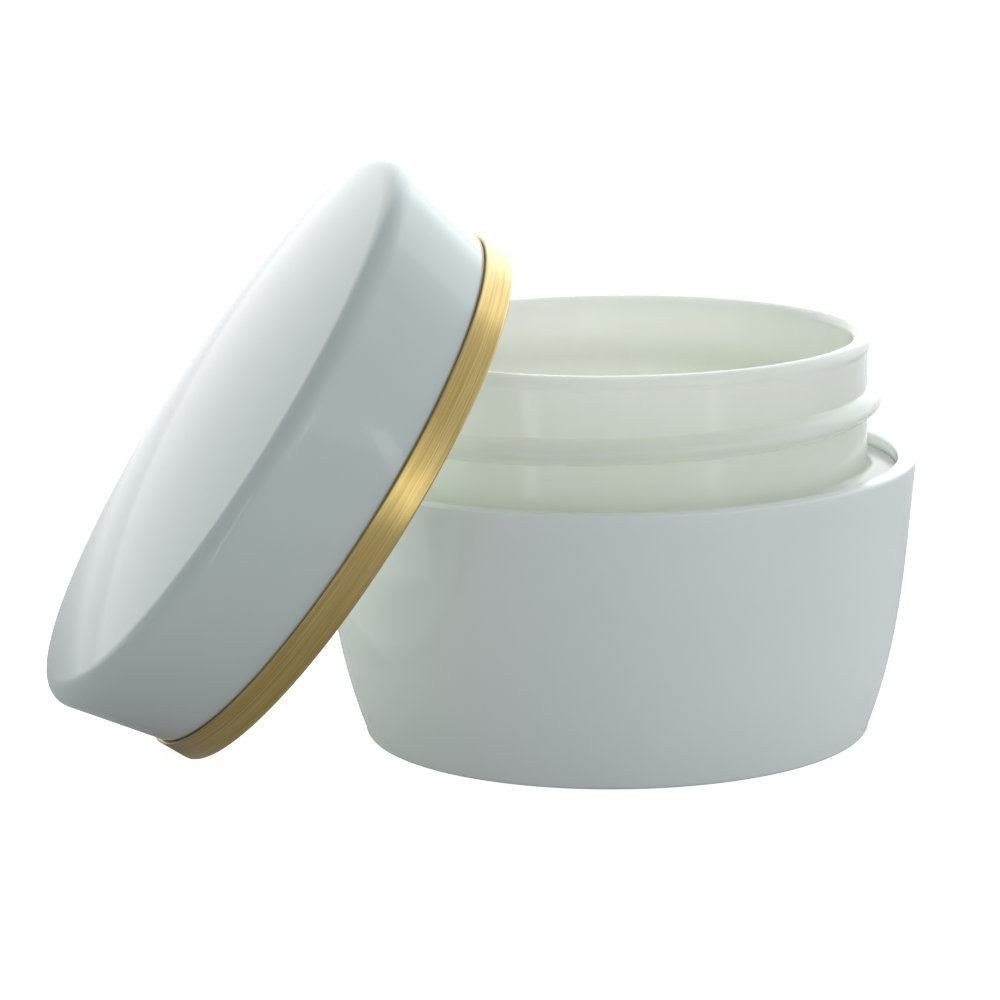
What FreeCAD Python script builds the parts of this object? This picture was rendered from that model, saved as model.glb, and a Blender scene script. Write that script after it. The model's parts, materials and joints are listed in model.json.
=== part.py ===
"""Cosmetic cream jar with its screw lid taken off and leaning on the neck. Millimetres, +Z up.

The origin is the centre of the jar's base, on the surface it stands on. The jar is a double-wall jar:
a white outer jar that flares upwards, and a cream cup that hangs inside it from a flange and carries
the threaded neck. The lid is a domed over-shell with a metal band at its edge, a threaded inner cap
and a foam liner. It leans towards -X, with its lowest edge on the surface.
"""
import FreeCAD, Part
import math
import os
from FreeCAD import Vector

# ---- outer jar -----------------------------------------------------------------------------------
BASE_R = 27.57          # radius of the wall where it meets the surface
RIM_R = 33.0            # radius of the open rim, the widest place
RIM_Z = 30.5            # height of the open rim
WALL_BULGE = 4.33       # how far the wall bellies out between base and rim (quadratic part)
WALL_SKEW = 2.39        # how much of that belly sits low down (cubic part)
WALL_FROM_Z = 0.8       # height where the curved wall begins, above a short upright foot
WALL_POINTS = 9         # spans of the wall's spline
FOOT_ROUND = 0.64       # rounding of the edge the jar stands on
FOOT_IN_R = 23.0        # inner radius of the ring the jar stands on
FOOT_RECESS = 0.6       # how far the middle of the base is raised
RIM_ROUND = 0.25        # rounding of both edges of the flat rim
SEAT_R = 30.9           # recess in the rim that takes the cup's flange
SEAT_Z = 27.9           # height of the ledge the flange sits on
BORE_R = 29.6           # straight bore below the ledge
BORE_LOW_Z = 19.0       # where the bore starts to follow the tapering wall
JAR_FLOOR_R = 26.4      # inside radius at the floor of the outer jar
JAR_FLOOR_Z = 2.4       # thickness of the floor

# ---- cream cup with flange and neck --------------------------------------------------------------
FLANGE_R = 30.78        # flange, a close fit in the recess of the rim
FLANGE_TOP_Z = 29.25    # the flange lies a little below the rim
FLANGE_ROUND = 0.2
NECK_R = 27.62          # outside of the neck
NECK_ROOT_ROUND = 0.9   # rounding between neck and flange
LIP_R = 28.0            # rolled lip at the mouth
LIP_LOW_Z = 42.3        # underside of the lip
LIP_SLOPE = 0.5         # height of the slope under the lip
MOUTH_Z = 44.0          # top of the lip
MOUTH_R = 25.95         # inside radius at the mouth
LIP_ROUND = 0.95        # rounding on both sides of the lip
CUP_MID_R = 25.5        # inside radius level with the flange
CUP_LOW_R = 24.0        # inside radius near the floor
CUP_LOW_Z = 18.0
CUP_FLOOR_R = 23.5      # where the lines of wall and floor would meet, inside
CUP_FLOOR_Z = 12.5      # inside floor of the cup
CUP_FLOOR_ROUND = 4.8   # rounding between floor and wall, inside
CUP_UNDER_ROUND = 5.6   # the same rounding on the underside
CUP_WALL = 1.5
COLLAR_R = 29.5         # collar below the flange that plugs into the bore
COLLAR_IN_R = 28.3
COLLAR_Z = 24.4

# ---- screw thread, one start ---------------------------------------------------------------------
PITCH = 3.0
JAR_THREAD_R = 29.15    # crest of the rounded thread on the neck
JAR_THREAD_HALF = 1.4   # half of its height at the neck
JAR_THREAD_Z = 36.2     # height of its middle at the front, -Y
JAR_THREAD_FROM = -165  # where it starts, degrees about +Z from +X
JAR_THREAD_SWEEP = 320
CAP_THREAD_R = 28.2     # crest of the thread inside the cap
CAP_THREAD_HALF = 0.55
CAP_THREAD_Z = 3.6      # height above the lid's rim, middle of the thread at its start
CAP_THREAD_SWEEP = 300
RUN_OUT = 24.0          # degrees over which a thread fades in and out
FADE_FROM = 0.08        # share of its size a thread has at its very ends
THREAD_ROOT = 0.3       # how far a thread is sunk into its wall
STEP_DEG = 4.0          # spacing of the sections along a thread

# ---- lid, measured from the plane of its rim -----------------------------------------------------
BAND_LOW_R = 32.48      # metal band at the rim
BAND_TOP_R = 32.55
BAND_H = 3.5
BAND_T = 0.55
BAND_EDGE = 0.3         # thickness of the edge turned in under the shell
BAND_IN_R = 31.1        # inner radius of that turned edge
BAND_ROUND = 0.27       # outer rounding of the fold
BAND_GAP = 0.05         # room between band and shell, at the side and below
BAND_TOP_GAP = 0.1      # open line above the band
SHELL_LOW_R = 32.15     # shell just above the band
CORNER_R = 34.78        # where the lines of skirt and dome would meet
CORNER_Z = 16.47
CORNER_ROUND = 2.2
APEX_Z = 20.41          # top of the dome
SHELL_IN_R = 31.0       # straight bore of the shell
SHELL_ROOF_T = 1.9      # thickness of the dome
DOME_POINTS = 8         # spans of each dome's spline
CAP_R = 30.9            # inner cap, pressed into the shell
CAP_IN_R = 29.4
CAP_LOW_Z = 0.4
CAP_BEVEL = 0.7         # bevel round the top of the cap
LINER_R = 29.3
LINER_Z = 13.2          # face of the liner that closes the mouth
LINER_T = 1.0
LINER_ROUND = 0.15
CAP_ROOF_T = 1.2

# ---- the lean of the lid -------------------------------------------------------------------------
LEAN_DEG = 34.6         # elevation of the lid's axis above the surface
LEAN_X = -30.2          # x of the middle of the lid's rim

# ---- how the lid is carried back over the mouth --------------------------------------------------
HELD_Z = 52.8           # height of the lid's rim when it hangs level above the mouth

# ---- how closely an edge has to match a place for it to be rounded ---------------------------------
NEAR = 0.02


def lathe(outline):
    """A solid turned about Z from (radius, height) points. A list among them is a spline's points."""
    edges = []
    last = None
    for item in outline + [outline[0]]:
        run = [Vector(r, 0, z) for r, z in (item if isinstance(item, list) else [item])]
        if last is not None and last.distanceToPoint(run[0]) > 1e-6:
            edges.append(Part.makeLine(last, run[0]))
        if len(run) > 1:
            spline = Part.BSplineCurve()
            spline.interpolate(run)
            edges.append(spline.toShape())
        last = run[-1]
    face = Part.Face(Part.Wire(edges))
    return face.revolve(Vector(0, 0, 0), Vector(0, 0, 1), 360)


def round_edges(solid, radius, places):
    """Rounds the circular edges of a turned solid that lie at the given (radius, height) places."""
    chosen = []
    for edge in solid.Edges:
        if edge.Degenerated or not isinstance(edge.Curve, Part.Circle):
            continue
        point = edge.valueAt(edge.FirstParameter)
        here = (math.hypot(point.x, point.y), point.z)
        if any(math.dist(here, place) < NEAR for place in places):
            chosen.append(edge)
    return solid.makeFillet(radius, chosen)


def wall_r(z):
    """Outside radius of the outer jar at height z."""
    t = z / RIM_Z
    belly = WALL_BULGE * t * (1 - t) + WALL_SKEW * t * (1 - t) * (1 - 2 * t)
    return BASE_R + (RIM_R - BASE_R) * t + belly


def dome(widest, drop):
    """Evenly spaced (radius, height) points on the dome, from the axis out, moved down by drop."""
    rise = APEX_Z - CORNER_Z
    ball = (CORNER_R ** 2 + rise ** 2) / (2 * rise)
    radii = [widest * i / DOME_POINTS for i in range(DOME_POINTS + 1)]
    return [(r, APEX_Z - drop - ball + math.sqrt(ball ** 2 - r ** 2)) for r in radii]


def thread(root_r, crest_r, half, z_start, start_deg, sweep_deg):
    """A rounded thread ridge that climbs by PITCH a turn and fades out at both ends."""
    back_r = root_r + math.copysign(THREAD_ROOT, root_r - crest_r)
    sections = []
    for i in range(int(sweep_deg / STEP_DEG) + 1):
        along = i * STEP_DEG
        fade = min(1.0, FADE_FROM + min(along, sweep_deg - along) / RUN_OUT)
        size = math.sin(fade * math.pi / 2)
        crest = root_r + (crest_r - root_r) * size
        h = half * (1 + size) / 2
        low, mid, high = Vector(root_r, 0, -h), Vector(crest, 0, 0), Vector(root_r, 0, h)
        back_high, back_low = Vector(back_r, 0, h), Vector(back_r, 0, -h)
        wire = Part.Wire([
            Part.Arc(low, mid, high).toShape(),
            Part.makeLine(high, back_high),
            Part.makeLine(back_high, back_low),
            Part.makeLine(back_low, low),
        ])
        wire.translate(Vector(0, 0, z_start + PITCH * along / 360))
        wire.rotate(Vector(0, 0, 0), Vector(0, 0, 1), start_deg + along)
        sections.append(wire)
    ridge = Part.makeLoft(sections, True, False)
    if ridge.Volume < 0:
        ridge.reverse()
    return ridge


def outer_jar():
    """White outer jar: foot ring, flaring wall, flat rim and a recess that seats the cup."""
    heights = [WALL_FROM_Z + (RIM_Z - WALL_FROM_Z) * i / WALL_POINTS for i in range(WALL_POINTS + 1)]
    wall = [(wall_r(z), z) for z in heights]
    foot_r = wall_r(WALL_FROM_Z)
    solid = lathe([
        (0, FOOT_RECESS), (FOOT_IN_R, FOOT_RECESS), (FOOT_IN_R + FOOT_RECESS, 0),
        (foot_r, 0), wall,
        (SEAT_R, RIM_Z), (SEAT_R, SEAT_Z), (BORE_R, SEAT_Z), (BORE_R, BORE_LOW_Z),
        (JAR_FLOOR_R, JAR_FLOOR_Z), (0, JAR_FLOOR_Z),
    ])
    solid = round_edges(solid, FOOT_ROUND, [(foot_r, 0)])
    return round_edges(solid, RIM_ROUND, [(RIM_R, RIM_Z), (SEAT_R, RIM_Z)])


def inner_cup():
    """Cream cup: rounded floor, flange with a plug collar, threaded neck and rolled lip."""
    wall = CUP_WALL
    solid = lathe([
        (0, CUP_FLOOR_Z - wall), (CUP_LOW_R + wall, CUP_FLOOR_Z - wall),
        (CUP_LOW_R + wall, CUP_LOW_Z + wall), (CUP_MID_R + wall, SEAT_Z),
        (COLLAR_IN_R, SEAT_Z), (COLLAR_IN_R, COLLAR_Z), (COLLAR_R, COLLAR_Z), (COLLAR_R, SEAT_Z),
        (FLANGE_R, SEAT_Z), (FLANGE_R, FLANGE_TOP_Z), (NECK_R, FLANGE_TOP_Z),
        (NECK_R, LIP_LOW_Z), (LIP_R, LIP_LOW_Z + LIP_SLOPE), (LIP_R, MOUTH_Z), (MOUTH_R, MOUTH_Z),
        (CUP_MID_R, FLANGE_TOP_Z), (CUP_LOW_R, CUP_LOW_Z), (CUP_FLOOR_R, CUP_FLOOR_Z),
        (0, CUP_FLOOR_Z),
    ])
    solid = round_edges(solid, LIP_ROUND, [(LIP_R, MOUTH_Z), (MOUTH_R, MOUTH_Z)])
    solid = round_edges(solid, NECK_ROOT_ROUND, [(NECK_R, FLANGE_TOP_Z)])
    solid = round_edges(solid, FLANGE_ROUND, [(FLANGE_R, FLANGE_TOP_Z)])
    solid = round_edges(solid, CUP_FLOOR_ROUND, [(CUP_FLOOR_R, CUP_FLOOR_Z)])
    solid = round_edges(solid, CUP_UNDER_ROUND, [(CUP_LOW_R + wall, CUP_FLOOR_Z - wall)])
    z_start = JAR_THREAD_Z + PITCH * (JAR_THREAD_FROM + 90) / 360
    ridge = thread(NECK_R, JAR_THREAD_R, JAR_THREAD_HALF, z_start, JAR_THREAD_FROM, JAR_THREAD_SWEEP)
    return solid.fuse(ridge).Solids[0]


def lid_shell():
    """Domed over-shell: straight bore, skirt that flares to a rounded corner, shallow dome."""
    low_z, ledge_z = BAND_EDGE + BAND_GAP, BAND_H + BAND_TOP_GAP
    rebate_r = BAND_TOP_R - BAND_T - BAND_GAP
    solid = lathe([
        (SHELL_IN_R, low_z), (rebate_r, low_z), (rebate_r, ledge_z), (SHELL_LOW_R, ledge_z),
        dome(CORNER_R, 0)[::-1],
        dome(SHELL_IN_R, SHELL_ROOF_T),
    ])
    return round_edges(solid, CORNER_ROUND, [(CORNER_R, CORNER_Z)])


def trim_band():
    """Metal band at the lid's rim, with its lower edge turned in under the shell."""
    solid = lathe([
        (BAND_IN_R, 0), (BAND_LOW_R, 0), (BAND_TOP_R, BAND_H), (BAND_TOP_R - BAND_T, BAND_H),
        (BAND_TOP_R - BAND_T, BAND_EDGE), (BAND_IN_R, BAND_EDGE),
    ])
    return round_edges(solid, BAND_ROUND, [(BAND_LOW_R, 0)])


def inner_cap():
    """Threaded inner cap that carries the liner under its roof."""
    roof_z = LINER_Z + LINER_T
    solid = lathe([
        (CAP_IN_R, CAP_LOW_Z), (CAP_R, CAP_LOW_Z), (CAP_R, roof_z + CAP_ROOF_T - CAP_BEVEL),
        (CAP_R - CAP_BEVEL, roof_z + CAP_ROOF_T), (0, roof_z + CAP_ROOF_T), (0, roof_z),
        (CAP_IN_R, roof_z),
    ])
    ridge = thread(CAP_IN_R, CAP_THREAD_R, CAP_THREAD_HALF, CAP_THREAD_Z, 0, CAP_THREAD_SWEEP)
    return solid.fuse(ridge).Solids[0]


def cap_liner():
    """Foam disc that seals the mouth when the lid is screwed down."""
    disc = Part.makeCylinder(LINER_R, LINER_T, Vector(0, 0, LINER_Z))
    return round_edges(disc, LINER_ROUND, [(LINER_R, LINER_Z)])


def rim_centre():
    """Middle of the leaning lid's rim, with the band's rounded edge touching z = 0."""
    tilt = math.radians(LEAN_DEG)
    height = (BAND_LOW_R - BAND_ROUND) * math.cos(tilt) - BAND_ROUND * math.sin(tilt) + BAND_ROUND
    return Vector(LEAN_X, 0, height)


def lean(shape):
    """Tips a lid piece over and sets it beside the jar."""
    shape.rotate(Vector(0, 0, 0), Vector(0, 1, 0), LEAN_DEG - 90)
    shape.translate(rim_centre())
    return shape


def swing_pole():
    """The point about which one turn carries the leaning lid level and central above the mouth."""
    start, end = rim_centre(), Vector(0, 0, HELD_Z)
    turn = math.radians(90 - LEAN_DEG)
    chord = end - start
    across = Vector(chord.z, 0, -chord.x) / (2 * math.tan(turn / 2))
    return (start + end) / 2 + across


def main():
    os.makedirs("parts", exist_ok=True)
    pieces = {
        "outer_jar": outer_jar(),
        "inner_cup": inner_cup(),
        "lid_shell": lean(lid_shell()),
        "trim_band": lean(trim_band()),
        "inner_cap": lean(inner_cap()),
        "cap_liner": lean(cap_liner()),
    }
    for name, shape in pieces.items():
        shape.exportStep(f"parts/{name}.step")
        box = shape.optimalBoundingBox(False, False)
        print(f"{name}: {shape.Volume / 1000:.2f} cm3, valid {shape.isValid()}, "
              f"solids {len(shape.Solids)}, z {box.ZMin:.2f} to {box.ZMax:.2f}, "
              f"x {box.XMin:.2f} to {box.XMax:.2f}")
    pole = swing_pole()
    print(f"lid swing: about +Y through x {pole.x:.4f}, z {pole.z:.4f}, by {90 - LEAN_DEG:.2f} degrees")


main()
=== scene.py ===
# %% [markdown]
# # A cosmetic cream jar, open, with its lid leaning against it
# The jar's sizes and its one joint come from a finished CAD model, which is loaded first and never
# changed. Blender's work is the surface of each piece: clean turned meshes with true roundings, and
# materials that behave like the real plastics and metal. Each piece is turned on a lathe in code, then
# stands in for the plain CAD solid of the same name.

# %% Load the frame
import json
import math
import bpy
from mathutils import Matrix, Quaternion, Vector


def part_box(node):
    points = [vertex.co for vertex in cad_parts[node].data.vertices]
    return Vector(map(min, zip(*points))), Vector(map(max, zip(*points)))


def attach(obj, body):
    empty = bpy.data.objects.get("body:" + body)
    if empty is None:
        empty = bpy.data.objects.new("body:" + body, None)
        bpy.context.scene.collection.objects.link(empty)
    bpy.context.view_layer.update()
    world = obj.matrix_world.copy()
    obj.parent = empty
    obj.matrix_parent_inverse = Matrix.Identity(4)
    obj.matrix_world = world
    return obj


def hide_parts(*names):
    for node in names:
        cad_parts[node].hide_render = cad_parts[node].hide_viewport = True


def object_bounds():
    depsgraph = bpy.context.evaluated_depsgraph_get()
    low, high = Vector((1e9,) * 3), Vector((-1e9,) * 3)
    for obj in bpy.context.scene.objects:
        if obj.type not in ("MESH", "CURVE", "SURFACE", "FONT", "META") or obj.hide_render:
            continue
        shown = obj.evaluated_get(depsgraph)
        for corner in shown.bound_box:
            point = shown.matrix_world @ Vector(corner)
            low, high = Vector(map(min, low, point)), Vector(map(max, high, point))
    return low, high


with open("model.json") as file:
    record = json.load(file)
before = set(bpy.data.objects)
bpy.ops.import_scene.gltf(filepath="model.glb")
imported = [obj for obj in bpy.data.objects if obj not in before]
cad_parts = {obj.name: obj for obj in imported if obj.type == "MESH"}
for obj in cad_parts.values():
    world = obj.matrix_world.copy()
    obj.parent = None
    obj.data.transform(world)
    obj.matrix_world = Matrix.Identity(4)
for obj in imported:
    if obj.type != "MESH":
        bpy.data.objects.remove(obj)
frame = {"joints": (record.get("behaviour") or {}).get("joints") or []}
cad_box = [list(corner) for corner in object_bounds()]

# %% [markdown]
# ## Units and places
# Blender counts in metres and a jar's drawing is in millimetres, so every outline below is written in
# millimetres and multiplied by MM once, when its mesh is made. The main sizes are read from the boxes of
# the CAD pieces, so the meshes can't drift away from them. The widest place of the jar is rounded off a
# little, so the radius it was drawn with is that much more than its box shows.

# %% Sizes read from the frame
MM = 0.001
ROUNDED_OFF = 0.03
jar_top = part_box("outer_jar")[1] / MM
cup_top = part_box("inner_cup")[1] / MM
band_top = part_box("trim_band")[1] / MM
RIM_R = jar_top.x + ROUNDED_OFF
RIM_Z = jar_top.z
FLANGE_R = cup_top.x
MOUTH_Z = cup_top.z
BAND_R = band_top.y
print("rim", round(RIM_R, 2), RIM_Z, "flange", FLANGE_R, "mouth", MOUTH_Z, "band", BAND_R)

# %% [markdown]
# ## Where the lid leans
# The joint turns the lid from its lean to level, so the end of its range is the angle still missing. The
# height of the middle of the lid's rim follows from the band's radius, because the rounded edge of the
# band touches the surface at its lowest point.

# %% Matrix of the leaning lid
LEAN_X = -30.2
BAND_ROUND = 0.27
BAND_TAPER = 0.07
BAND_LOW_R = BAND_R - BAND_TAPER
turn_left = math.radians(frame["joints"][0]["range_deg"][1])
lean = math.pi / 2 - turn_left
rim_centre = Vector((LEAN_X, 0, (BAND_LOW_R - BAND_ROUND) * math.cos(lean)
                     - BAND_ROUND * math.sin(lean) + BAND_ROUND)) * MM
LID_PLACE = Matrix.Translation(rim_centre) @ Matrix.Rotation(-turn_left, 4, "Y")
print("lid leans", round(math.degrees(lean), 2), "degrees, rim centre", tuple(rim_centre))

# %% [markdown]
# ## Outlines
# All six pieces are round, so each is drawn as an outline of one half: a list of (radius, height,
# rounding) corners. A mould maker's cutter leaves every corner rounded, and those roundings are what
# catches the light along a rim, which a sharp corner never does. A Bevel modifier could round them too,
# but each edge would need its own weight to get its own radius, so `soften` swaps each corner for a small
# arc in the outline itself.

# %% Outline with rounded corners
ARC_STEPS = 7


def soften(corners):
    """Replaces each (radius, height, rounding) corner by an arc that meets both sides smoothly."""
    points = []
    last = len(corners) - 1
    for i, (r, z, rounding) in enumerate(corners):
        here = Vector((r, z))
        if rounding == 0 or i in (0, last):
            points.append(here)
            continue
        to_last = (Vector(corners[i - 1][:2]) - here).normalized()
        to_next = (Vector(corners[i + 1][:2]) - here).normalized()
        half = to_last.angle(to_next) / 2
        reach = rounding / math.tan(half)
        centre = here + (to_last + to_next).normalized() * (rounding / math.sin(half))
        start, end = here + to_last * reach - centre, here + to_next * reach - centre
        swing = start.angle_signed(end)
        for step in range(ARC_STEPS + 1):
            points.append(centre + Matrix.Rotation(-swing * step / ARC_STEPS, 2) @ start)
    return points


print("one rounded corner becomes", len(soften([(0, 0, 0), (9, 0, 1), (9, 9, 0)])) - 2, "points")


# %% Evenly spaced stretch of an outline
def between(start, end, count):
    """Evenly spaced (radius, height, 0) points from start up to, and not including, end."""
    return [(start[0] + (end[0] - start[0]) * i / count, start[1] + (end[1] - start[1]) * i / count, 0)
            for i in range(count)]


print("a stretch in four:", between((0, 0), (4, 8), 4))

# %% [markdown]
# ## A lathe
# One function turns an outline about Z, as a lathe does. A Screw modifier could do the same, but making
# the rings directly keeps the grid even, and lets a thread push the wall out where it runs. A point on
# the axis doesn't move when it is turned, so its whole ring is one point, and the faces there are
# triangles.

# %% Rings of points and the faces between them
SIDES = 320
ON_AXIS = 1e-6


def rings_round(outline, push):
    """Carries each outline point round the axis. Returns the points and each ring's point numbers."""
    verts, rings = [], []
    for r, z in outline:
        if r < ON_AXIS:
            rings.append([len(verts)] * SIDES)
            verts.append((0, 0, z * MM))
            continue
        ring = []
        for side in range(SIDES):
            angle = 2 * math.pi * side / SIDES
            out = r + (push(angle, r, z) if push else 0)
            ring.append(len(verts))
            verts.append((out * math.cos(angle) * MM, out * math.sin(angle) * MM, z * MM))
        rings.append(ring)
    return verts, rings


def faces_between(rings, closed):
    """Faces from each ring to the next, and from the last to the first when the outline is closed."""
    pairs = list(zip(rings, rings[1:])) + ([(rings[-1], rings[0])] if closed else [])
    faces = []
    for low, high in pairs:
        for side in range(SIDES):
            after = (side + 1) % SIDES
            faces.append(list(dict.fromkeys([low[side], low[after], high[after], high[side]])))
    return [face for face in faces if len(face) > 2]


print("each ring has", SIDES, "sides,", round(2 * math.pi * RIM_R / SIDES, 2), "mm long at the rim")

# %% [markdown]
# A brushed surface needs to know which way is round the piece, and a UV map tells it: U grows once round,
# V is the height. A face that crosses the seam would run backwards through the whole map, so its low side
# has a full turn added.

# %% A map that runs round the piece
def wrap_uv(mesh):
    """A UV map whose U runs once round the piece and whose V is its height, in metres."""
    layer = mesh.uv_layers.new(name="AroundAndUp")
    for face in mesh.polygons:
        turns = [math.atan2(mesh.vertices[v].co.y, mesh.vertices[v].co.x) / (2 * math.pi)
                 for v in face.vertices]
        for loop, vert, turn in zip(face.loop_indices, face.vertices, turns):
            across = turn + 1 if max(turns) - turn > 0.5 else turn
            layer.data[loop].uv = (across, mesh.vertices[vert].co.z)


print("one turn of the map is", round(2 * math.pi * RIM_R, 1), "mm long at the rim")


# %% Turn an outline into a piece
SHARP_DEG = 40


def lathe(name, corners, push=None):
    """Turns an outline about Z. push(angle, radius, height) returns how far a thread moves the wall out."""
    outline = soften(corners)
    verts, rings = rings_round(outline, push)
    mesh = bpy.data.meshes.new(name)
    mesh.from_pydata(verts, [], faces_between(rings, closed=outline[0].x > ON_AXIS))
    mesh.validate()
    wrap_uv(mesh)
    mesh.shade_smooth()
    mesh.set_sharp_from_angle(angle=math.radians(SHARP_DEG))
    piece = bpy.data.objects.new(name, mesh)
    bpy.context.scene.collection.objects.link(piece)
    print(name, len(mesh.vertices), "vertices,", len(mesh.polygons), "faces")
    return piece


# %% [markdown]
# ## A screw thread
# The thread is a smooth ridge that climbs by one pitch a turn. It could be swept along a helix and joined
# on, but the join would show. Here it is a height instead: each point of the wall is pushed out by how
# near it is to the middle of the ridge at its own angle. The ridge grows out of the wall and fades at
# both ends, as a moulded one does, with no cut in the mesh.

# %% Thread as a push on the wall
PITCH = 3.0
RUN_OUT = 24.0
ON_WALL = 0.02


def thread(start_deg, sweep_deg, z_start, half, height, wall_r):
    """A push function for lathe: a ridge of the given half width and height on the wall at wall_r."""
    def push(angle, r, z):
        along = (math.degrees(angle) - start_deg) % 360
        if along > sweep_deg or abs(r - wall_r) > ON_WALL:
            return 0.0
        off = (z - z_start - PITCH * along / 360) / half
        fade = min(1.0, min(along, sweep_deg - along) / RUN_OUT)
        return height * math.sin(fade * math.pi / 2) * max(0.0, 1 - off * off)
    return push


print("thread climbs", PITCH, "mm a turn and fades over", RUN_OUT, "degrees")

# %% [markdown]
# ## The outer jar
# The real one is a thick injection moulding. Its wall leaves the foot steeply, bellies out and
# straightens towards the rim. A hand-drawn curve would need many points to be as smooth, so one formula
# gives the wall: a straight taper, plus a belly, plus a share that moves the belly down.

# %% The jar's wall
BASE_R = 27.57
BELLY, BELLY_LOW = 4.33, 2.39
FOOT_Z = 0.8
WALL_STEPS = 60


def wall_r(z):
    """Outside radius of the jar at a height."""
    t = z / RIM_Z
    belly = BELLY * t * (1 - t) + BELLY_LOW * t * (1 - t) * (1 - 2 * t)
    return BASE_R + (RIM_R - BASE_R) * t + belly


wall = []
for step in range(WALL_STEPS):
    height = FOOT_Z + (RIM_Z - FOOT_Z) * step / WALL_STEPS
    wall.append((wall_r(height), height, 0))
print("wall", round(wall[0][0], 2), "mm at the foot,", round(wall_r(RIM_Z / 2), 2), "mm half way up")

# %% [markdown]
# The jar stands on a ring, with the middle of its base raised, so that it doesn't rock. The rim is a flat
# ring with tiny roundings. Inside it, a step down seats the cup's flange, and a straight bore holds its
# collar.

# %% Turn the outer jar
FOOT_RECESS, FOOT_IN_R = 0.6, 23.0
SEAT_R, SEAT_Z = 30.9, 27.95
BORE_R, BORE_LOW_Z = 29.6, 19.0
JAR_FLOOR_R, JAR_FLOOR_Z = 26.4, 2.4
outer_jar = lathe("OuterJar", [
    (0, FOOT_RECESS, 0), (FOOT_IN_R, FOOT_RECESS, 0.3), (FOOT_IN_R + FOOT_RECESS, 0, 0.3),
    (wall_r(FOOT_Z) - 0.1, 0, 0.6), *wall,
    (RIM_R, RIM_Z, 0.28), (SEAT_R, RIM_Z, 0.25), (SEAT_R, SEAT_Z, 0.1), (BORE_R, SEAT_Z, 0.1),
    (BORE_R, BORE_LOW_Z, 0), (JAR_FLOOR_R, JAR_FLOOR_Z, 1.5), (0, JAR_FLOOR_Z, 0),
])

# %% [markdown]
# ## The cream cup
# Flange, neck and cup are one moulding. The thread is a single rounded ridge, and the neck's outline has
# many points where it runs, because a ridge can only bend a wall that has points to move.

# %% The neck and its thread
NECK_R = 27.62
NECK_FROM_Z, NECK_TO_Z = 33.2, 40.6
THREAD_Z = 36.2
THREAD_FROM, THREAD_SWEEP = -165, 320
THREAD_HALF, THREAD_HEIGHT = 1.45, 1.53
THREAD_POINTS = 64
cup_thread = thread(THREAD_FROM, THREAD_SWEEP, THREAD_Z + PITCH * (THREAD_FROM + 90) / 360,
                    THREAD_HALF, THREAD_HEIGHT, NECK_R)
neck = between((NECK_R, NECK_FROM_Z), (NECK_R, NECK_TO_Z), THREAD_POINTS)
print("thread crest at radius", NECK_R + THREAD_HEIGHT, "mm")

# %% [markdown]
# The lip is rolled to a soft edge that doesn't scrape a finger, and a small fillet joins the neck to its
# flange. Under the flange, a thin collar plugs into the outer jar. Inside, one very large rounding takes
# the mouth's wall into the cup's, so no line shows where the neck ends.

# %% Turn the cup
UNDER_Z, CUP_OUT_R, CUP_OUT_Z = 11.0, 25.5, 19.5
FLANGE_LOW_Z, FLANGE_TOP_Z = 27.9, 29.25
COLLAR_IN_R, COLLAR_R, COLLAR_Z = 28.3, 29.5, 24.4
LIP_R, LIP_LOW_Z, LIP_Z, LIP_ROUND = 28.0, 42.3, 42.8, 0.95
MOUTH_R, CUP_MID_R = 25.95, 25.5
CUP_LOW_R, CUP_LOW_Z = 24.0, 18.0
CUP_FLOOR_R, CUP_FLOOR_Z = 23.5, 12.5
inner_cup = lathe("CreamCup", [
    (0, UNDER_Z, 0), (CUP_OUT_R, UNDER_Z, 5.6), (CUP_OUT_R, CUP_OUT_Z, 1.0), (27.0, FLANGE_LOW_Z, 0),
    (COLLAR_IN_R, FLANGE_LOW_Z, 0), (COLLAR_IN_R, COLLAR_Z, 0.2), (COLLAR_R, COLLAR_Z, 0.2),
    (COLLAR_R, FLANGE_LOW_Z, 0), (FLANGE_R, FLANGE_LOW_Z, 0.1), (FLANGE_R, FLANGE_TOP_Z, 0.2),
    (NECK_R, FLANGE_TOP_Z, 0.9), *neck, (NECK_R, NECK_TO_Z, 0), (NECK_R, LIP_LOW_Z, 0.4),
    (LIP_R, LIP_Z, 0.3), (LIP_R, MOUTH_Z, LIP_ROUND), (MOUTH_R, MOUTH_Z, LIP_ROUND),
    (CUP_MID_R, FLANGE_TOP_Z, 20.0), (CUP_LOW_R, CUP_LOW_Z, 3.0), (CUP_FLOOR_R, CUP_FLOOR_Z, 4.8),
    (0, CUP_FLOOR_Z, 0),
], cup_thread)

# %% [markdown]
# ## The lid
# Its pieces are drawn upright, with height 0 at the rim, and then set at the lean. The dome is one
# shallow arc, and its radius follows from its width and rise: the nearer the two, the rounder the dome.
# The same arc, set lower, is the ceiling inside.

# %% The dome
CORNER_R, CORNER_Z, CORNER_ROUND, APEX_Z = 34.78, 16.47, 2.2, 20.41
ROOF_THICK, ROOF_R = 1.9, 30.9
dome_rise = APEX_Z - CORNER_Z
dome_radius = (CORNER_R ** 2 + dome_rise ** 2) / (2 * dome_rise)


def dome(drop, widest, count):
    """Points on the dome from the axis out to a radius, lowered by drop."""
    radii = [widest * i / count for i in range(count + 1)]
    return [(r, APEX_Z - drop - dome_radius + math.sqrt(dome_radius ** 2 - r * r), 0) for r in radii]


roof = dome(ROOF_THICK, ROOF_R, 30)
crown = dome(0, CORNER_R - 2.3, 60)
print("dome rises", round(dome_rise, 2), "mm on a radius of", round(dome_radius, 1), "mm")

# %% [markdown]
# The shell is the lid's glossy outside. Its skirt widens upwards to a rounded corner, and a shallow
# rebate round its edge takes the band, so that the metal stands only 0.4 mm proud of the plastic.

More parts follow.
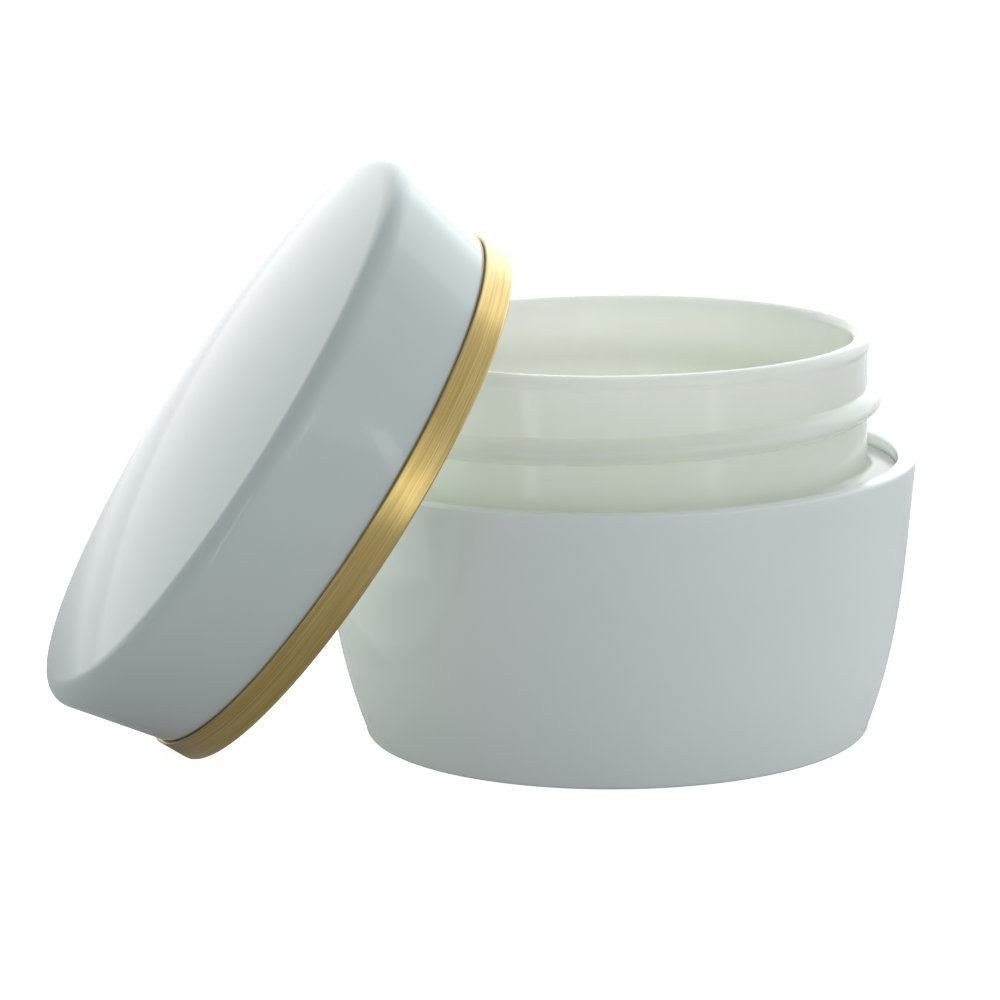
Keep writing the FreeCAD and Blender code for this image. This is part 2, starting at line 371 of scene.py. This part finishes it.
# %% Turn the lid's shell
SHELL_IN_R, SHELL_LOW_Z, SHELL_LOW_R = 31.0, 0.35, 32.15
CEILING_Z = 14.9
REBATE_Z = 3.6
rebate_r = BAND_R - 0.6
lid_shell = lathe("LidShell", [
    *roof, (SHELL_IN_R, CEILING_Z, 0.3), (SHELL_IN_R, SHELL_LOW_Z, 0.1), (rebate_r, SHELL_LOW_Z, 0.1),
    (rebate_r, REBATE_Z, 0), (SHELL_LOW_R, REBATE_Z, 0.12), (CORNER_R, CORNER_Z, CORNER_ROUND),
    *reversed(crown),
])

# %% [markdown]
# ## The metal band
# A strip of aluminium rolled into a ring, with its lower edge turned in under the shell. The turned edge
# has a real radius, so a fine bright line runs round the bottom of it. The strip widens very slightly
# upwards.

# %% Turn the band
BAND_H, BAND_IN_R, BAND_EDGE_R = 3.5, 32.0, 31.12
band_wall = between((BAND_LOW_R + 0.006, 0.4), (BAND_R, BAND_H - 0.1), 10)
trim_band = lathe("TrimBand", [
    (BAND_IN_R - 0.1, 0.32, 0), (BAND_EDGE_R, 0.3, 0.05), (BAND_EDGE_R, 0.0, 0.12),
    (BAND_LOW_R, 0, 0.28), *band_wall, (BAND_R, BAND_H, 0.1), (BAND_IN_R, BAND_H, 0.05),
    (BAND_IN_R, 0.32, 0.02),
])

# %% [markdown]
# ## The threaded cap
# Inside the shell sits a plain threaded cap. Its ridge runs inwards, so its push is negative.

# %% Turn the cap
CAP_R, CAP_IN_R, CAP_LOW_Z = 30.9, 29.4, 0.4
CAP_CEILING_Z, CAP_TOP_Z, CAP_BEVEL = 14.2, 15.4, 0.7
CAP_THREAD_SWEEP, CAP_THREAD_Z = 300, 3.6
cap_thread = thread(0, CAP_THREAD_SWEEP, CAP_THREAD_Z, 0.6, -1.2, CAP_IN_R)
skirt = between((CAP_IN_R, 9.0), (CAP_IN_R, 1.4), THREAD_POINTS)
inner_cap = lathe("ThreadedCap", [
    (0, CAP_CEILING_Z, 0), (CAP_IN_R, CAP_CEILING_Z, 0.3), *skirt, (CAP_IN_R, CAP_LOW_Z, 0.3),
    (CAP_R, CAP_LOW_Z, 0.2), (CAP_R, CAP_TOP_Z - CAP_BEVEL, 0), (CAP_R - CAP_BEVEL, CAP_TOP_Z, 0),
    (0, CAP_TOP_Z, 0),
], cap_thread)

# %% [markdown]
# ## The liner
# A disc of closed-cell foam that seals the mouth. The mouth's lip has left a faint ring in it, 0.1 mm
# deep.

# %% Turn the liner
LINER_R, LINER_Z, RING_DEEP = 29.3, 13.2, 0.1
cap_liner = lathe("CapLiner", [
    (0, LINER_Z, 0), (25.6, LINER_Z, 0.3), (26.0, LINER_Z + RING_DEEP, 0.3),
    (27.9, LINER_Z + RING_DEEP, 0.3), (28.3, LINER_Z, 0.3), (LINER_R, LINER_Z, 0.15),
    (LINER_R, CAP_CEILING_Z, 0), (0, CAP_CEILING_Z, 0),
])

# %% [markdown]
# The lean goes into the meshes themselves, and not into the objects, so that every piece keeps its origin
# at the origin of the frame, as the jar's own pieces do.

# %% Set the lid's pieces at the lean
for piece in (lid_shell, trim_band, inner_cap, cap_liner):
    piece.data.transform(LID_PLACE)
    print(piece.name, "lowest at", round(min(v.co.z for v in piece.data.vertices) / MM, 2), "mm")

# %% [markdown]
# ## Colour
# Colours are written as the sRGB hex values that a colour picker shows. Shaders want linear light, so one
# function converts them.

# %% From hex to linear
def linear(code):
    """An sRGB hex code as a linear RGBA colour."""
    parts = [int(code[i:i + 2], 16) / 255 for i in (1, 3, 5)]
    return [c / 12.92 if c <= 0.04045 else ((c + 0.055) / 1.055) ** 2.4 for c in parts] + [1.0]


print("middle grey #808080 is", round(linear("#808080")[0], 3), "in linear light")

# %% [markdown]
# ## Nodes
# A material is a small tree of nodes. One function adds a node with its settings and its links, so that a
# tree reads from top to bottom in the order that it is made.

# %% Helpers for materials
def add(tree, kind, inputs=None, **settings):
    """Adds one node, sets its properties, and fills its inputs with values or other nodes' outputs."""
    made = tree.nodes.new(kind)
    for key, value in settings.items():
        setattr(made, key, value)
    for socket, value in (inputs or {}).items():
        if isinstance(value, bpy.types.NodeSocket):
            tree.links.new(value, made.inputs[socket])
        else:
            made.inputs[socket].default_value = value
    return made


def new_material(name):
    """A material with only its output node: returns the material, its node tree and that node."""
    material = bpy.data.materials.new(name)
    material.use_nodes = True
    material.node_tree.nodes.clear()
    output = add(material.node_tree, "ShaderNodeOutputMaterial")
    print("material", name)
    return material, material.node_tree, output


# %% [markdown]
# ## Moulded plastic
# Five of the six pieces are moulded plastic, so one function makes them all. The eye sees a reflection
# over a slightly soft body, because a little light goes under the surface: that is the subsurface part.
# Real mouldings are never perfectly flat, so a very low, wide waviness bends the reflections, and a trace
# of cloudy tint keeps the colour from looking painted. Noise on the object's own coordinates gives both,
# at sizes in millimetres.

# %% How a moulded plastic is made
def plastic(name, light, shade, cloud_mm, roughness, ior, softness, soft_mm, wave_mm, wave_height_mm):
    """A moulded plastic: cloudy tint between two colours, soft body, and a faint waviness."""
    material, tree, output = new_material(name)
    place = add(tree, "ShaderNodeTexCoord").outputs["Object"]
    cloud = add(tree, "ShaderNodeTexNoise", {"Vector": place, "Scale": 1 / (cloud_mm * MM),
                                             "Detail": 3.0, "Roughness": 0.5})
    tint = add(tree, "ShaderNodeValToRGB", {"Fac": cloud.outputs["Fac"]})
    tint.color_ramp.elements[0].position = 0.3
    tint.color_ramp.elements[0].color = linear(shade)
    tint.color_ramp.elements[1].position = 0.7
    tint.color_ramp.elements[1].color = linear(light)
    wave = add(tree, "ShaderNodeTexNoise", {"Vector": place, "Scale": 1 / (wave_mm * MM),
                                            "Detail": 1.0, "Roughness": 0.4})
    bump = add(tree, "ShaderNodeBump", {"Height": wave.outputs["Fac"], "Strength": 1.0,
                                        "Distance": wave_height_mm * MM})
    shader = add(tree, "ShaderNodeBsdfPrincipled", {
        "Base Color": tint.outputs["Color"], "Roughness": roughness, "IOR": ior,
        "Subsurface Weight": softness, "Subsurface Radius": (1.0, 1.0, 0.9),
        "Subsurface Scale": soft_mm * MM, "Normal": bump.outputs["Normal"]})
    tree.links.new(shader.outputs["BSDF"], output.inputs["Surface"])
    return material


# %% [markdown]
# ## The outer jar's white
# Styrene acrylonitrile, SAN, moulded against polished steel: hard, heavy and glossy, with a high IOR for
# a plastic. It is filled with white pigment, so light goes only about 3 mm in.

# %% White SAN
jar_white = plastic("moulded_white_san", light="#F5F8F8", shade="#F1F5F5", cloud_mm=18, roughness=0.12,
                    ior=1.57, softness=0.35, soft_mm=3.0, wave_mm=7.0, wave_height_mm=0.004)

# %% [markdown]
# ## The lid's white
# ABS, a tougher styrene plastic, polished a little finer, so its reflections are the sharpest of the
# plastic pieces. Its white is set darker than the jar's, so that its tones come out right under the light
# further down. It was chosen together with that light, and isn't a measured colour: the two real plastics
# may well be the same white.

# %% White ABS
lid_white = plastic("polished_white_abs", light="#D3D9D9", shade="#CED5D5", cloud_mm=22, roughness=0.08,
                    ior=1.54, softness=0.15, soft_mm=1.5, wave_mm=9.0, wave_height_mm=0.003)

# %% [markdown]
# ## The cup's cream
# Polypropylene, PP, with little pigment in it. It is faintly green-yellow, and translucent: light spreads
# 10 mm inside it, so the neck glows at its edges and its shadows stay soft.

# %% Translucent PP
cup_cream = plastic("translucent_cup_pp", light="#EDF0E3", shade="#E8ECDD", cloud_mm=14, roughness=0.12,
                    ior=1.49, softness=1.0, soft_mm=10.0, wave_mm=5.0, wave_height_mm=0.006)

# %% [markdown]
# ## The threaded cap's satin
# Also polypropylene, but from a mould that was only ground, since nobody looks inside the lid. The fine
# grinding blurs its reflections to a satin sheen.

# %% Satin PP
cap_satin = plastic("satin_cap_pp", light="#F0F2EC", shade="#EBEEE7", cloud_mm=14, roughness=0.38,
                    ior=1.49, softness=0.30, soft_mm=2.0, wave_mm=2.0, wave_height_mm=0.004)

# %% [markdown]
# ## The liner's foam
# Polyethylene foam, cut from sheet. It is matt, and its closed cells give it a fine, shallow grain.

# %% Closed-cell foam
liner_foam = plastic("closed_cell_pe_foam", light="#F5F5F0", shade="#ECECE6", cloud_mm=2.5, roughness=0.75,
                     ior=1.45, softness=0.20, soft_mm=1.0, wave_mm=0.35, wave_height_mm=0.03)

# %% [markdown]
# ## Brushed gold aluminium
# The band is aluminium strip, brushed lengthwise, then anodised and dyed gold. Brushing leaves scratches
# that all run round the ring. They stretch a highlight across themselves, which the shader's anisotropy
# gives, and they break its colour into fine streaks. Real scratches are about 0.02 mm apart, too fine to
# show, so they are drawn 0.15 mm apart: noise squeezed along the ring's axis and left long around it. The
# ring leans, so the noise is first laid back into the ring's own upright place.

# %% Scratches round the band
SCRATCH_MM = 0.15
STREAK_LONG = 60.0
gold, tree, output = new_material("brushed_gold_aluminium")
leaning = add(tree, "ShaderNodeTexCoord").outputs["Object"]
place = add(tree, "ShaderNodeMapping", {"Vector": leaning, "Location": rim_centre,
                                        "Rotation": (0, -turn_left, 0)},
            vector_type="TEXTURE").outputs["Vector"]
stretched = add(tree, "ShaderNodeMapping",
                {"Vector": place, "Scale": (STREAK_LONG, STREAK_LONG, 1 / (SCRATCH_MM * MM))})
streaks = add(tree, "ShaderNodeTexNoise", {"Vector": stretched.outputs["Vector"], "Scale": 1.0,
                                           "Detail": 4.0, "Roughness": 0.7})
print("scratches", SCRATCH_MM, "mm apart and about", round(1 / (STREAK_LONG * MM), 1), "mm long")

# %% [markdown]
# The streaks drive two things: the colour, which is darker along a scratch, and a bump far too low to see
# as a shape. Wide, faint blotches vary how rough the brushing is, so that its gloss isn't too even.

# %% Colour and gloss of the band
streak_tint = add(tree, "ShaderNodeValToRGB", {"Fac": streaks.outputs["Fac"]})
streak_tint.color_ramp.elements[0].position = 0.25
streak_tint.color_ramp.elements[0].color = linear("#B28F4A")
streak_tint.color_ramp.elements[1].position = 0.8
streak_tint.color_ramp.elements[1].color = linear("#E6CF93")
blotch = add(tree, "ShaderNodeTexNoise", {"Vector": place, "Scale": 1 / (6 * MM), "Detail": 3.0})
rough = add(tree, "ShaderNodeMapRange", {"Value": blotch.outputs["Fac"], "From Min": 0.3,
                                         "From Max": 0.7, "To Min": 0.16, "To Max": 0.24})
bump = add(tree, "ShaderNodeBump", {"Height": streaks.outputs["Fac"], "Strength": 0.6,
                                    "Distance": 0.01 * MM})
tangent = add(tree, "ShaderNodeTangent", direction_type="UV_MAP", uv_map="AroundAndUp")
shader = add(tree, "ShaderNodeBsdfPrincipled", {
    "Base Color": streak_tint.outputs["Color"], "Metallic": 1.0, "Roughness": rough.outputs["Result"],
    "Anisotropic": 0.65, "Normal": bump.outputs["Normal"], "Tangent": tangent.outputs["Tangent"]})
tree.links.new(shader.outputs["BSDF"], output.inputs["Surface"])
print(gold.name, "has", len(tree.nodes), "nodes")

# %% [markdown]
# ## Each piece takes its CAD node's place
# Every piece rides on an empty for its body, and the CAD node that it stands for is hidden. The table also
# lists a slot for each finish, which nothing here uses.

# %% Dress and hang the pieces
finishes = [
    (outer_jar, jar_white, "jar", "outer_jar", "jar_plastic"),
    (inner_cup, cup_cream, "jar", "inner_cup", "cup_plastic"),
    (lid_shell, lid_white, "lid", "lid_shell", "lid_plastic"),
    (trim_band, gold, "lid", "trim_band", "band_metal"),
    (inner_cap, cap_satin, "lid", "inner_cap", "cap_plastic"),
    (cap_liner, liner_foam, "lid", "cap_liner", "liner_foam"),
]
for piece, material, body, node, slot in finishes:
    piece.data.materials.append(material)
    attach(piece, body)
    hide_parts(node)
    print(piece.name, "rides on", body, "and stands for", node)

# %% [markdown]
# ## The floor's shape
# A broad sheet of paper. It lies a hair below the jar, because two faces in exactly the same place would
# show speckles.

# %% Lay the floor
FLOOR_SIZE = 8.0
FLOOR_DROP = 0.00002
half = FLOOR_SIZE / 2
floor_mesh = bpy.data.meshes.new("Floor")
floor_mesh.from_pydata([(-half, -half, 0), (half, -half, 0), (half, half, 0), (-half, half, 0)],
                       [], [(0, 1, 2, 3)])
floor = bpy.data.objects.new("Floor", floor_mesh)
bpy.context.scene.collection.objects.link(floor)
floor.location.z = -FLOOR_DROP
print("floor", FLOOR_SIZE, "m square")

# %% [markdown]
# ## The floor's paper
# A paper white enough to look white all over would throw too much light up at the jar. So the paper
# itself is a light grey, and it gives off light in two ways. One part only counts where the floor is
# looked at directly, which Light Path's Is Camera Ray says, and lights nothing. Real paper can't do that:
# it is a trick that keeps the floor white. The other part is real light that rises towards the back, like
# a sheet that sweeps up behind the set, and the lid's dome reflects it.

# %% Paper that lifts towards the back
SWEEP_FROM, SWEEP_TO = 0.06, 0.28
NEAR_GLOW, REAR_GLOW, SEEN_GLOW = 0.10, 0.80, 0.8
floor_white, tree, output = new_material("white_paper_sweep")
seen = add(tree, "ShaderNodeLightPath").outputs["Is Camera Ray"]
spot = add(tree, "ShaderNodeTexCoord").outputs["Object"]
depth = add(tree, "ShaderNodeSeparateXYZ", {"Vector": spot}).outputs["Y"]
rear = add(tree, "ShaderNodeMapRange", {"Value": depth, "From Min": SWEEP_FROM, "From Max": SWEEP_TO,
                                        "To Min": NEAR_GLOW, "To Max": REAR_GLOW})
lift = add(tree, "ShaderNodeMath", {0: seen, 1: SEEN_GLOW, 2: rear.outputs["Result"]},
           operation="MULTIPLY_ADD")
shader = add(tree, "ShaderNodeBsdfPrincipled", {
    "Base Color": linear("#BCBCBC"), "Roughness": 0.9, "Emission Color": linear("#FFFFFF"),
    "Emission Strength": lift.outputs["Value"]})
tree.links.new(shader.outputs["BSDF"], output.inputs["Surface"])
floor_mesh.materials.append(floor_white)
print("paper glows", NEAR_GLOW, "under the jar and", REAR_GLOW, "from", SWEEP_TO, "m behind it")

# %% [markdown]
# ## The tent
# Glossy white plastic has little shading of its own: its shape shows in what it reflects. So the set is a
# tent round the jar, brightest behind it. It could be built from sheets, but as the world's colour it
# needs none: a base light comes from all sides, and each panel adds a patch in its own direction. A panel
# is given by where it is round the jar, how high it stands, the nearness where it starts, the nearness
# where it is full, and its light in linear red, green and blue. Nearness is the dot product of two
# directions, which is 1 when they agree. The last panel takes light away, as a black flag does on a real
# set.

# %% Panels of the tent
BASE_LIGHT = (0.54, 0.58, 0.585)
PANELS = [
    ("backdrop", -5, 0.15, 0.64, 0.90, (1.00, 0.99, 0.97)),
    ("backdrop_right", 38, 0.15, 0.72, 0.92, (0.20, 0.21, 0.22)),
    ("high_right", 45, 0.60, 0.80, 0.95, (0.45, 0.48, 0.50)),
    ("right_wall", 95, 0.00, 0.62, 1.0, (0.42, 0.44, 0.44)),
    ("front_fill", 165, 0.0, 0.70, 1.0, (0.46, 0.48, 0.44)),
    ("black_flag", 225, 0.50, 0.35, 0.95, (-0.29, -0.29, -0.29)),
]
print(len(PANELS), "panels:", [panel[0] for panel in PANELS])

# %% Hang the panels on the world
world = bpy.data.worlds.new("WhiteTent")
bpy.context.scene.world = world
world.use_nodes = True
tree = world.node_tree
tree.nodes.clear()
direction = add(tree, "ShaderNodeTexCoord").outputs["Generated"]
tent_light = Vector(BASE_LIGHT)
for name, azimuth, rise, edge, full, colour in PANELS:
    turn = math.radians(azimuth)
    towards = Vector((math.sin(turn), math.cos(turn), rise)).normalized()
    near = add(tree, "ShaderNodeVectorMath", {0: direction, 1: towards}, operation="DOT_PRODUCT")
    blend = add(tree, "ShaderNodeMapRange", {"Value": near.outputs["Value"], "From Min": edge,
                                             "From Max": full, "To Min": 0.0, "To Max": 1.0},
                interpolation_type="SMOOTHSTEP")
    tent_light = add(tree, "ShaderNodeVectorMath",
                     {0: Vector(colour), 1: blend.outputs["Result"], 2: tent_light},
                     operation="MULTIPLY_ADD").outputs["Vector"]
    print("panel", name, "at", azimuth, "degrees")
background = add(tree, "ShaderNodeBackground", {"Color": tent_light, "Strength": 1.0})
tree.links.new(background.outputs["Background"],
               add(tree, "ShaderNodeOutputWorld").inputs["Surface"])

# %% [markdown]
# ## Soft lights
# A tent alone leaves the plastic without accents, so five rectangular lamps add them. A lamp shines along
# its own -Z, and to_track_quat turns it to face its aim. None of them shows itself to the camera.

# %% A rectangular soft light
def soft_light(name, place, aim, width, height, power, colour):
    """A rectangular area light that shines from place towards aim."""
    lamp = bpy.data.lights.new(name, "AREA")
    lamp.shape = "RECTANGLE"
    lamp.size, lamp.size_y = width, height
    lamp.energy = power
    lamp.color = linear(colour)[:3]
    holder = bpy.data.objects.new(name, lamp)
    bpy.context.scene.collection.objects.link(holder)
    holder.location = place
    holder.rotation_euler = (Vector(place) - Vector(aim)).to_track_quat("Z", "Y").to_euler()
    holder.visible_camera = False
    print("lamp", name, power, "W,", width, "by", height, "m")


# %% [markdown]
# Two narrow strips stand low and close in front, for the upright streaks on the neck: an upright wall
# seen from slightly above reflects what is near the floor. A large softbox behind lights the jar from the
# right, and a small one far off in front on the right gives the band its lower highlight. The last lamp
# is a weak fill in the hollow of the leaning lid, which lifts the side of the jar that the lid shades. It
# belongs to the set, so it stays where it is when the lid is swung away.

# %% Place the lamps
middle = (Vector(cad_box[0]) + Vector(cad_box[1])) / 2
STRIP_Z, STRIP_W, STRIP_H, STRIP_POWER = 0.026, 0.012, 0.05, 0.0020
for name, x, y in (("LeftStrip", -0.084, -0.086), ("RightStrip", 0.058, -0.105)):
    soft_light(name, (x, y, STRIP_Z), (0, 0, STRIP_Z), STRIP_W, STRIP_H, STRIP_POWER, "#FFFFFF")
soft_light("BackRightSoftbox", (0.45, 0.40, 0.36), middle, 0.45, 0.45, 0.32, "#F4FAFF")
soft_light("FrontRightSoftbox", (0.185, -0.445, 0.10), middle, 0.09, 0.09, 0.020, "#FFFFFF")
hollow = rim_centre + Vector((-6.6, 0, 4.5)) * MM
soft_light("LidGlow", hollow, (0, 0, 0.006), 0.044, 0.044, 0.0036, "#F2FFF4")

# %% [markdown]
# ## Camera
# A long lens from just under half a metre, a little above the mouth of the jar, so that its rim is a thin
# oval. A long lens keeps the near and far sides of the jar close to the same size. The camera is aimed
# near the middle of the object's box, then rolled by under a degree.

# %% Place the camera
VIEW_AZIMUTH, VIEW_ELEVATION, VIEW_ROLL = math.radians(-9.3), math.radians(11.64), math.radians(-0.81)
VIEW_DISTANCE = 0.4782
AIM_OFF = Vector((3.26, 7.04, -7.33)) * MM
back = Vector((math.sin(VIEW_AZIMUTH) * math.cos(VIEW_ELEVATION),
               -math.cos(VIEW_AZIMUTH) * math.cos(VIEW_ELEVATION), math.sin(VIEW_ELEVATION)))
lens = bpy.data.cameras.new("Camera")
lens.lens, lens.sensor_width = 154.8, 36.0
lens.clip_start, lens.clip_end = 0.01, 20.0
camera = bpy.data.objects.new("Camera", lens)
bpy.context.scene.collection.objects.link(camera)
camera.location = middle + AIM_OFF + back * VIEW_DISTANCE
camera.rotation_mode = "QUATERNION"
camera.rotation_quaternion = back.to_track_quat("Z", "Y") @ Quaternion((0, 0, 1), VIEW_ROLL)
bpy.context.scene.camera = camera
print("camera at", tuple(round(c, 4) for c in camera.location))

# %% [markdown]
# ## Tones
# The Standard view shows each light level as it is, so pure white stays pure white. Blender's default
# view rolls the highlights off, which would turn a white set grey.

# %% Show white as white
bpy.context.scene.view_settings.view_transform = "Standard"
print("view", bpy.context.scene.view_settings.view_transform)
